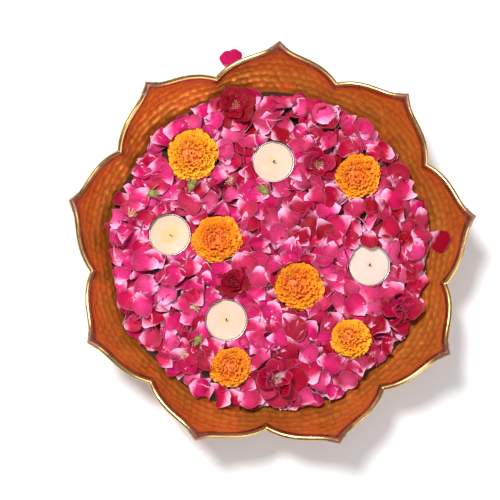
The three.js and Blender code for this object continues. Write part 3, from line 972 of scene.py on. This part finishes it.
def makeCalyx(k):
    # A ribbed cup that narrows to the cut stem.
    centre, half = centreOf(f"marigold_{k}_calyx")
    low, high, radius = centre[2] - half[2], centre[2] + half[2], half[0]
    depth = high - low
    profile = [(0, 0), (0.0019, 0), (0.0021, 0.0003), (0.0021, depth * 0.34), (0.0027, depth * 0.4),
               (radius * 0.62, depth * 0.56), (radius * 0.86, depth * 0.74), (radius * 0.95, depth * 0.93),
               (radius * 0.93, depth - 0.0002), (radius * 0.85, depth), (0, depth)]
    piece = turnedPiece(f"marigold{k}Calyx", profile, 48, (centre[0], centre[1], low))
    points = pointsOf(piece)
    flat = points[:, :2] - centre[:2]
    around = np.arctan2(flat[:, 1], flat[:, 0])
    reach = np.hypot(flat[:, 0], flat[:, 1])
    ribs = 1 + 0.045 * np.cos(around * 12) * np.clip((reach - 0.0025) / 0.003, 0, 1)
    points[:, :2] = centre[:2] + flat * ribs[:, None]
    setPoints(piece, points)
    smooth(piece, 50)
    finishPiece(piece, calyxGreen, f"marigold_{k}", "calyx", f"marigold_{k}_calyx")


def makeMarigolds():
    model = modelGrid("floretModel", marigold["across"], marigold["along"])
    form = floretForm()
    for k in range(1, 7):
        makeMarigold(k, model, form)
        makeCalyx(k)
    thrownAway(model)


makeMarigolds()
print("marigolds made")


# ---- Whole roses

bloom = {"grid": 8, "thickness": 0.0004, "stamens": 34, "overTop": 0.002, "sunk": 0.0008}
roses = {  # a whorl is its petals, how far out they start, their tilt in degrees and their length
    1: {"dark": True, "tone": 0.45, "stamens": "peach", "seed": 41, "slack": 1.0,
        "whorls": [(5, 0.04, 10, 1.25), (6, 0.04, 22, 1.05), (4, 0.08, 48, 0.7)]},
    2: {"dark": False, "tone": 0.75, "stamens": "gold", "seed": 42, "slack": 2.0,
        "whorls": [(5, 0.06, 22, 1.2), (5, 0.14, 46, 0.95), (2, 0.16, 60, 0.75)]},
    3: {"dark": True, "tone": 0.35, "stamens": "gold", "seed": 43, "slack": 1.0,
        "whorls": [(6, 0.04, 15, 1.2), (6, 0.05, 36, 0.85), (5, 0.04, 55, 0.66), (4, 0.02, 72, 0.45)]},
    4: {"dark": False, "tone": 0.6, "stamens": "", "seed": 44, "slack": 2.4,
        "whorls": [(7, 0.04, 12, 1.12), (7, 0.05, 30, 0.86), (7, 0.05, 46, 0.7), (6, 0.03, 60, 0.54),
                   (5, 0.02, 74, 0.38)]},
    5: {"dark": False, "tone": 0.72, "stamens": "cream", "seed": 45, "slack": 2.0,
        "whorls": [(6, 0.05, 6, 1.1), (6, 0.09, 16, 0.9), (4, 0.12, 34, 0.6)]},
}
stamenColours = {"peach": (0.85, 0.30, 0.20), "gold": (0.62, 0.36, 0.10), "cream": (0.66, 0.60, 0.30),
                 "straw": (0.80, 0.56, 0.30)}


def whorlForm(rng, length, width, curl):
    # A rounded petal with its base at the origin, cupped, its edge rolled back and a little torn.
    x, y = discGrid(bloom["grid"], bloom["grid"])
    reach = np.hypot(x, y)
    narrow = 1 - 0.42 * np.clip((0.25 - y) / 1.25, 0, 1) ** 1.3
    around = np.arctan2(y, x)
    phase = rng.uniform(0, 6, 2)
    edge = 1 + 0.05 * np.sin(3 * around + phase[0]) * reach
    edge += 0.03 * np.sin(7 * around + phase[1]) * reach**2
    px = x * narrow * width / 2 * edge
    py = (y * edge + 1) * length / 2
    outside = np.clip(reach - 0.6, 0, 1) * np.clip(y + 0.5, 0, 1)
    pz = width / 2 * (curl * x**2 + 0.10 * x * y) + length * 0.10 * (y + 1) ** 2 / 4
    pz += width / 2 * (0.09 * np.sin(5 * around + phase[0]) * reach**3 - rng.uniform(0.5, 1.4) * outside**2)
    return np.stack([px, py, pz], axis=2).reshape(-1, 3)


def stamenShapes():
    # A stalk one unit tall and a grain of pollen.
    bpy.ops.object.select_all(action="DESELECT")
    bpy.ops.mesh.primitive_cone_add(
        vertices=5, radius1=0.00022, radius2=0.00012, depth=1, location=(0, 0, 0.5))
    stalk = bpy.context.object
    bpy.ops.mesh.primitive_uv_sphere_add(segments=6, ring_count=4, radius=0.5, location=(0, 0, 0))
    grain = bpy.context.object
    pickOnly(stalk, grain)
    bpy.ops.object.transform_apply(location=True, rotation=True, scale=True)
    addTones(stalk, grain)
    smooth(stalk, 60)
    smooth(grain, 60)
    return stalk, grain


def filament(stalk, grain, base, along, length):
    along = unit(along)
    across = unit(np.cross(along, (0.31, 0.17, 0.93)))  # any direction square to the stalk
    points = base + pointsOf(stalk) @ np.array([across, np.cross(across, along), along * length])
    pollen = base + along * length + pointsOf(grain) * (0.0008, 0.0008, 0.0006)
    return [copyOf(stalk, points), copyOf(grain, pollen)]


def stamenMaterial(kind):
    material, tree, shader = newMaterial(f"{kind}Stamens", Roughness=0.6)
    colour = stamenColours[kind]
    patches = useGroup(tree, patchGroup, Size=900.0, Contrast=3.0)
    paint(tree, shader, mixColours(tree, patches, colour, tuple(value * 0.45 for value in colour)))
    return material


def makeStamens(k, centre, radius, rng, low):
    stalk, grain = stamenShapes()
    parts = []
    for i in range(bloom["stamens"]):
        share = math.sqrt((i + 0.5) / bloom["stamens"])
        out = outward(math.radians(i * marigold["golden"]) + rng.normal(0, 0.2))
        along = out * share * rng.uniform(0.5, 1.0) + (0, 0, 0.9)
        length = radius * rng.uniform(0.26, 0.42)
        base = np.array([centre[0], centre[1], low + 0.0015]) + out * share * radius * 0.10
        parts += filament(stalk, grain, base, along, length)
    thrownAway(stalk, grain)
    piece = join(f"rose{k}Stamens", parts)
    finishPiece(piece, stamenMaterial(roses[k]["stamens"]), f"rose_bloom_{k}", "bud")


def makeRose(k, model):
    look = roses[k]
    rng = np.random.default_rng(look["seed"])
    centre, half = centreOf(f"rose_{k}")
    low = centre[2] - half[2] - bloom["sunk"]
    radius = (half[0] + half[1]) / 2
    petalsMade, slack = [], look["slack"]
    for order, (count, start, tilt, size) in enumerate(look["whorls"]):
        offset = order * 0.55 + rng.uniform(0, 0.4)
        for i in range(count):
            around = 2 * math.pi * (i + offset) / count + rng.normal(0, 0.14 * slack)
            lean = math.radians(tilt + rng.normal(0, 8 * slack))
            length = radius * size * (1 - start) * rng.uniform(0.92, 1.28)
            width = length * rng.uniform(0.95, 1.25) / slack**0.3
            form = whorlForm(rng, length, width, 0.30 + 0.25 * order / len(look["whorls"]))
            out = outward(around)
            side = np.array([math.sin(around), -math.cos(around), 0])
            along = out * math.cos(lean) + np.array([0, 0, math.sin(lean)])
            turn = rng.normal(0, 0.20 * slack)
            up = np.cross(side, along)
            across = side * math.cos(turn) + up * math.sin(turn)
            base = np.array([centre[0], centre[1], low + 0.0004 * order]) + out * start * radius
            points = stood(form, base, across, along)
            ceiling = centre[2] + half[2] + bloom["overTop"]
            over = points[:, 2] > ceiling
            points[over, 2] = ceiling + (points[over, 2] - ceiling) * 0.2
            points[:, 2] = np.maximum(points[:, 2], low + 0.0003 * i)
            tone = np.clip(look["tone"] + rng.normal(0, 0.15) - 0.12 * order, 0, 1)
            pale = np.clip(rng.normal(0, 0.06), 0, 0.4)
            petalsMade.append(copyOf(model, points, tone, pale))
    piece = join(f"rose{k}Petals", petalsMade)
    applyModifier(piece, "SOLIDIFY", thickness=bloom["thickness"], offset=0)
    smooth(piece, 80)
    material = roseDark if look["dark"] else rosePink
    slot = "dark_rose_petal" if look["dark"] else "rose_petal"
    finishPiece(piece, material, f"rose_bloom_{k}", slot, f"rose_{k}")
    if look["stamens"]:
        makeStamens(k, centre, radius, rng, low)


def makeRoses():
    model = modelGrid("roseModel", bloom["grid"], bloom["grid"])
    for k in roses:
        makeRose(k, model)
    thrownAway(model)


makeRoses()
print("roses made")


# ---- Rose buds

buds = {"aim": {1: 70, 2: 20, 3: 130, 4: 240}, "sepals": 5, "seed": 51, "length": 0.0125,
        "radius": 0.0036, "lift": 0.28}


def makeBud(k, model):
    rng = np.random.default_rng(buds["seed"] + k)
    centre = centreOf(f"bud_{k}")[0]
    aim = math.radians(buds["aim"][k])
    length, radius = buds["length"], buds["radius"]
    profile = [(0, 0), (0.0009, 0), (0.0010, 0.0024), (0.0026, 0.0036), (radius, 0.0056), (0.0034, 0.0076),
               (0.0024, 0.0096), (0.0012, 0.0114), (0.0004, length), (0, length)]
    body = turnedPiece(f"bud{k}", profile, 24)
    addTones(body)
    points = pointsOf(body)
    points[:, 2] -= length / 2
    along = unit(np.array([math.cos(aim), math.sin(aim), buds["lift"]]))
    side = unit(np.cross(along, (0, 0, 1)))
    up = np.cross(side, along)
    turned = centre + points @ np.array([side, up, along])
    setPoints(body, turned)
    parts = [body]
    s, t = np.meshgrid(np.linspace(-1, 1, 4), np.linspace(0, 1, 6))
    for i in range(buds["sepals"]):
        around = 2 * math.pi * i / buds["sepals"] + rng.normal(0, 0.15)
        out = side * math.cos(around) + up * math.sin(around)
        opened = rng.uniform(0.1, 0.9)
        wide = 0.0017 * np.sin(math.pi * (0.12 + 0.84 * t)) ** 0.8
        leaf = 0.0115 * rng.uniform(0.8, 1.05)
        bend = radius * np.sin(math.pi * np.minimum(t * 1.1, 1) * 0.5)
        bend += opened * 0.006 * np.maximum(t - 0.35, 0) + 0.0003
        across = np.cross(out, along)
        place = (centre - along * (length / 2 - 0.0034) + (t * leaf)[..., None] * along
                 + bend[..., None] * out + (s * wide)[..., None] * across)
        parts.append(copyOf(model, place.reshape(-1, 3)))
    for part in parts[1:]:
        applyModifier(part, "SOLIDIFY", thickness=0.00035, offset=0)
    piece = join(f"bud{k}Sepals", parts)
    mergeSeams(piece)
    smooth(piece, 60)
    finishPiece(piece, budGreen, "bowl", "bud", f"bud_{k}")


def makeBuds():
    model = modelGrid("sepalModel", 4, 6)
    for k in buds["aim"]:
        makeBud(k, model)
    thrownAway(model)


makeBuds()
print("buds made")


# ---- Loose petals

loose = {
    "count": 640, "tries": 14, "grid": 7, "thickness": 0.00035, "groups": 10, "seed": 21, "flipped": 0.30,
    "cell": 0.001, "cells": 300, "rest": 0.0385, "start": 0.042, "percentile": 66, "lift": 0.00045,
    "ceiling": 0.0490, "cupCeiling": 0.0428, "wallHeights": (0.040, 0.050), "wallGap": 0.0030,
    "margin": 0.0065, "recent": 110,
}
tufts = {
    "stalks": 13,
    "places": [(-0.125, 0.027, 60), (-0.071, -0.053, -20), (-0.073, -0.095, 160), (-0.034, 0.062, 200)],
}
stray = {"angle": 3, "heights": (0.043, 0.058), "turn": 35, "clear": 0.0006,
         "rimAngle": 102.1, "rimHeight": 0.0555, "rimLift": 20}
petalShapes = [  # length, width, narrowing to the base, notch, cup, bend, rolled edge, fold, waves
    (0.0275, 0.0260, 0.50, 0.07, 0.22, 0.06, 0.9, 0.00, 0.05),
    (0.0255, 0.0265, 0.42, 0.10, 0.30, 0.10, 0.6, 0.00, 0.08),
    (0.0290, 0.0235, 0.55, -0.10, 0.25, 0.12, 1.2, 0.00, 0.05),
    (0.0240, 0.0215, 0.50, 0.00, 0.45, 0.05, 0.3, 0.00, 0.10),
    (0.0260, 0.0200, 0.60, -0.14, 0.10, 0.20, 0.8, 0.30, 0.06),
    (0.0220, 0.0225, 0.40, 0.05, 0.55, 0.00, 0.0, 0.00, 0.10),
    (0.0285, 0.0285, 0.45, 0.12, 0.15, -0.10, 0.7, 0.00, 0.12),
    (0.0215, 0.0165, 0.60, -0.06, 0.35, 0.15, 0.4, 0.35, 0.08),
    (0.0250, 0.0240, 0.55, 0.04, -0.15, 0.18, 0.9, 0.00, 0.14),
    (0.0230, 0.0250, 0.50, -0.08, 0.40, -0.12, 0.8, 0.15, 0.08),
]
waterGaps = [  # bare water: place, half length, half width, direction in degrees
    (-0.043, -0.120, 0.013, 0.0015, -18),
    (-0.092, 0.088, 0.008, 0.002, 45),
    (0.098, 0.074, 0.010, 0.001, -50),
    (0.112, -0.056, 0.010, 0.001, 60),
    (0.012, -0.128, 0.014, 0.001, 0),
    (0.060, -0.112, 0.006, 0.001, 20),
]


def petalForm(shape, rng):
    length, width, narrowing, notch, cup, bend, rolled, fold, waves = shape
    x, y = discGrid(loose["grid"], loose["grid"])
    reach = np.hypot(x, y)
    around = np.arctan2(y, x)
    phase = rng.uniform(0, 6, 2)
    narrow = 1 - narrowing * np.clip((0.4 - y) / 1.4, 0, 1) ** 1.15
    ragged = 1 + reach**2 * (0.05 * np.sin(3 * around + phase[0]) + 0.03 * np.sin(8 * around + phase[1]))
    px = x * narrow * ragged * width / 2
    py = (y * ragged - notch * np.exp(-(x / 0.3) ** 2) * np.clip(y, 0, 1)) * length / 2
    outside = np.clip(reach - 0.55, 0, 1) * np.clip(y + 0.55, 0, 1)
    pz = 1.5 * cup * x**2 + fold * np.abs(x) + 1.6 * bend * (y + 0.2) ** 2 - 1.2 * rolled * outside**2
    pz += 1.3 * waves * np.sin(4 * around + phase[0]) * reach**2 + rng.normal(0, 0.14) * x * y
    return np.stack([px, py, pz * width / 2], axis=2).reshape(-1, 3)


def turning(rng, tilt, turn, flipped):
    # The petal's three directions after it is turned over, tipped and swung round.
    lean = rng.uniform(0, 2 * math.pi)
    basis = Matrix.Rotation(turn, 3, "Z")
    basis = Matrix.Rotation(tilt, 3, Vector((math.cos(lean), math.sin(lean), 0))) @ basis
    if flipped:
        basis = basis @ Matrix.Rotation(math.pi, 3, "Y")
    return np.array(basis.transposed())


def wallTable():
    # The inside of the wall, at two heights, for every two degrees.
    angles = np.radians(np.arange(0, 362, 2))
    rows = []
    for height in loose["wallHeights"]:
        rows.append([wallRadius(angle, height) - bowl["sheet"] for angle in angles])
    return angles, np.array(rows)


def insideWall(points, table):
    angles, radii = table
    around = np.arctan2(points[:, 1], points[:, 0]) % (2 * math.pi)
    low = np.interp(around, angles, radii[0])
    high = np.interp(around, angles, radii[1])
    first, last = loose["wallHeights"]
    limit = low + (high - low) * (points[:, 2] - first) / (last - first) - loose["wallGap"]
    reach = np.hypot(points[:, 0], points[:, 1])
    over = np.maximum(reach - limit, 0)
    moved = points.copy()
    moved[:, :2] *= (np.minimum(reach, limit) / reach)[:, None]
    moved[:, 2] += over * 0.45
    return moved


def floats():
    # What floats among the petals: its middle, and the radius the petals keep clear of.
    circles = []
    for k in range(1, 5):
        circles.append((f"tealight_{k}_cup", 0.0002))
    for k in range(1, 7):
        circles.append((f"marigold_{k}_head", 0.0))
    for k in roses:
        circles.append((f"rose_{k}", -0.0022))
    found = []
    for node, clear in circles:
        centre, half = centreOf(node)
        found.append((centre[:2], (half[0] + half[1]) / 2 + clear))
    return found


def keptClear(points, circles, rng):
    # Points that would run into a float curl up against its side instead.
    moved = points.copy()
    for middle, radius in circles:
        away = moved[:, :2] - middle
        reach = np.hypot(away[:, 0], away[:, 1])
        clear = radius + rng.uniform(-0.0004, 0.0003)
        inside = np.maximum(clear - reach, 0)
        hit = inside > 0
        moved[hit, :2] = middle + away[hit] / np.maximum(reach[hit], 1e-6)[:, None] * clear
        moved[hit, 2] += inside[hit] * 0.10
    return moved


def inGap(x, y):
    for gapX, gapY, long, wide, degrees in waterGaps:
        turn = math.radians(degrees)
        dx, dy = x - gapX, y - gapY
        along = dx * math.cos(turn) + dy * math.sin(turn)
        across = -dx * math.sin(turn) + dy * math.cos(turn)
        if (along / (long + 0.007)) ** 2 + (across / (wide + 0.007)) ** 2 < 1:
            return True
    return False


def petalPlaces(rng, circles, table):
    # Evenly spread places, each the farthest from the last ones of a few tries.
    angles, radii = table
    places = []
    while len(places) < loose["count"]:
        best, bestAway = None, -1
        for _ in range(loose["tries"]):
            around = rng.uniform(0, 2 * math.pi)
            limit = np.interp(around, angles, radii[0]) - loose["margin"]
            reach = limit * math.sqrt(rng.uniform(0, 1))
            x, y = reach * math.cos(around), reach * math.sin(around)
            if inGap(x, y):
                continue
            if any(math.hypot(x - c[0], y - c[1]) < r + 0.0015 for c, r in circles):
                continue
            recent = places[-loose["recent"]:]
            away = min((math.hypot(x - px, y - py) for px, py in recent), default=1)
            if away > bestAway:
                best, bestAway = (x, y), away
        if best:
            places.append(best)
    return places


def cellsOf(points):
    half = loose["cells"] // 2
    cells = (points[:, :2] / loose["cell"]).astype(int) + half
    return np.clip(cells, 0, loose["cells"] - 1)


def spread(heights, points):
    # Raise the pile to a petal, its grid filled in between its points.
    size = loose["grid"]
    grid = points.reshape(size, size, 3)
    steps = np.linspace(0, size - 1, size * 4)
    first = np.clip(steps.astype(int), 0, size - 2)
    share = (steps - first)[:, None, None]
    rows = grid[first] * (1 - share) + grid[first + 1] * share
    share = (steps - first)[None, :, None]
    filled = (rows[:, first] * (1 - share) + rows[:, first + 1] * share).reshape(-1, 3)
    cells = cellsOf(filled)
    np.maximum.at(heights, (cells[:, 0], cells[:, 1]), filled[:, 2])


def laidPetal(form, place, basis, heights, circles, table, rng):
    points = form @ basis + (place[0], place[1], 0)
    points[:, 2] += loose["start"]
    points = insideWall(keptClear(points, circles, rng), table)
    cells = cellsOf(points)
    ground = heights[cells[:, 0], cells[:, 1]]
    points[:, 2] += np.percentile(ground - points[:, 2], loose["percentile"])
    sunk = np.maximum(points[:, 2], ground + loose["lift"])
    ceiling = loose["ceiling"] + np.zeros(len(points))
    for middle, radius in circles[:4]:  # the pile is lower beside a tealight
        beside = np.hypot(points[:, 0] - middle[0], points[:, 1] - middle[1]) - radius
        ceiling = np.minimum(ceiling, loose["cupCeiling"] + np.maximum(beside, 0) * 0.35)
    points[:, 2] = np.where(sunk > ceiling, ceiling + (sunk - ceiling) * 0.35, sunk)
    return insideWall(keptClear(points, circles, rng), table)


def finishPetals(name, piece, body, *replaced):
    piece.name = piece.data.name = name
    applyModifier(piece, "SOLIDIFY", thickness=loose["thickness"], offset=0)
    smooth(piece, 75)
    finishPiece(piece, rosePink, body, "rose_petal", *replaced)


def makeStrays(rng, model, heights, circles, table):
    # One petal rests over a tealight's edge, one lies up on the wall, and one clings outside the rim.
    middle, radius = circles[1]
    steps = (np.arange(loose["cells"]) - loose["cells"] // 2 + 0.5) * loose["cell"]
    apart = np.hypot(steps[:, None] - middle[0], steps[None, :] - middle[1])
    raised = np.where(apart < radius + 0.001, np.maximum(heights, 0.0416), heights)
    form = petalForm(petalShapes[1], rng) * 0.66
    basis = turning(rng, 0.12, math.radians(165), False)
    place = (middle[0] - 0.001, middle[1] + radius + 0.004)
    others = circles[:1] + circles[2:]
    points = laidPetal(form, place, basis, raised, others, table, rng)
    finishPetals("petalOnTealight", copyOf(model, points, 0.75, 0.0), "tealight_2")
    angle = math.radians(stray["angle"])
    out = outward(angle)
    foot, head = (wallRadius(angle, height) * out + (0, 0, height) for height in stray["heights"])
    climb = unit(head - foot)
    across = np.array([-out[1], out[0], 0])
    inward = np.cross(across, climb)
    form = petalForm(petalShapes[0], rng) * 0.9
    turn = math.radians(stray["turn"])
    swung = across * math.cos(turn) + climb * math.sin(turn)
    points = stood(form, (foot + head) / 2 + inward * 0.003, swung, np.cross(inward, swung))
    for point in points:
        limit = wallRadius(math.atan2(point[1], point[0]), point[2]) - bowl["sheet"] - stray["clear"]
        point[:2] *= min(1, limit / math.hypot(point[0], point[1]))
    finishPetals("petalOnWall", copyOf(model, points, 0.95, 0.0), "bowl")
    angle, lift = math.radians(stray["rimAngle"]), math.radians(stray["rimLift"])
    out = outward(angle)
    along = out * math.cos(lift) + (0, 0, math.sin(lift))
    outside = wallRadius(angle, stray["rimHeight"]) + bowl["sheet"]
    form = petalForm(petalShapes[1], rng) * 0.80
    middle = outside * out + (0, 0, stray["rimHeight"]) + along * 0.0118
    points = stood(form, middle, (out[1], -out[0], 0), along)
    for point in points:
        limit = wallRadius(math.atan2(point[1], point[0]), point[2]) + bowl["sheet"] + stray["clear"]
        point[:2] *= max(1, limit / math.hypot(point[0], point[1]))
    finishPetals("petalAtRim", copyOf(model, points, 0.15, 0.0), "bowl")


def makeTufts(rng, heights):
    # Bunches of stamens that fell out of a rose, lying on the petals.
    stalk, grain = stamenShapes()
    parts = []
    for x, y, degrees in tufts["places"]:
        cells = cellsOf(np.array([[x, y, 0]]))[0]
        nearby = heights[cells[0] - 2:cells[0] + 3, cells[1] - 2:cells[1] + 3]
        base = np.array([x, y, nearby.max() + 0.0003])
        for _ in range(tufts["stalks"]):
            turn = math.radians(degrees) + rng.normal(0, 0.5)
            along = np.array([math.cos(turn), math.sin(turn), rng.uniform(-0.05, 0.35)])
            start = base + rng.normal(0, 0.0007, 3) * (1, 1, 0.2)
            parts += filament(stalk, grain, start, along, rng.uniform(0.0045, 0.0085))
    thrownAway(stalk, grain)
    finishPiece(join("looseStamens", parts), stamenMaterial("straw"), "bowl", "bud")


def makeLoosePetals():
    rng = np.random.default_rng(loose["seed"])
    circles, table = floats(), wallTable()
    places = petalPlaces(rng, circles, table)
    heights = np.full((loose["cells"], loose["cells"]), loose["rest"])
    model = modelGrid("petalModel", loose["grid"], loose["grid"])
    groups = [[] for _ in range(loose["groups"])]
    for i, place in enumerate(places):
        shape = petalShapes[rng.integers(len(petalShapes))]
        form = petalForm(shape, rng) * rng.uniform(0.68, 0.98)
        flipped = rng.random() < loose["flipped"]
        tilt = math.radians(rng.choice([8, 26, 48], p=[0.38, 0.38, 0.24]))
        basis = turning(rng, tilt, rng.uniform(0, 2 * math.pi), flipped)
        points = laidPetal(form, place, basis, heights, circles, table, rng)
        spread(heights, points)
        # painted shade: petals laid earlier, lower in the pile, get a redder, darker tone; the tone also
        # grows redder towards +x and varies at random
        toneAndLayerShade = 1.04 - 0.75 * math.sqrt(i / len(places)) + place[0] * 2.2 + rng.normal(0.05, 0.36)
        pale = 0.42 * rng.random() ** 5
        if flipped:
            pale += 0.03 + 0.25 * rng.random() ** 2
        group = int(i * loose["groups"] / len(places))
        groups[group].append(copyOf(model, points, np.clip(toneAndLayerShade, 0, 1), pale))
    makeStrays(rng, model, heights, circles, table)
    makeTufts(rng, heights)
    thrownAway(model)
    for i, group in enumerate(groups):
        name = f"loosePetals{i + 1}"
        replaced = ["petal_bed"] if i == 0 else []
        finishPetals(name, join(name, group), "bowl", *replaced)
    print("highest petal", round(float(heights.max()) * 1000, 1), "mm")


makeLoosePetals()
print("loose petals laid")


# ---- Floor and finish

def addFloor():
    bpy.ops.mesh.primitive_plane_add(size=12)
    floor = bpy.context.object
    floor.location.z = -0.0001
    floor.name = "floor"
    material = newMaterial("paleFloor", Roughness=0.8, Base_Color=(0.86, 0.86, 0.86, 1))[0]
    floor.data.materials.append(material)


addCamera()
addLights()
addFloor()
print("scene finished")
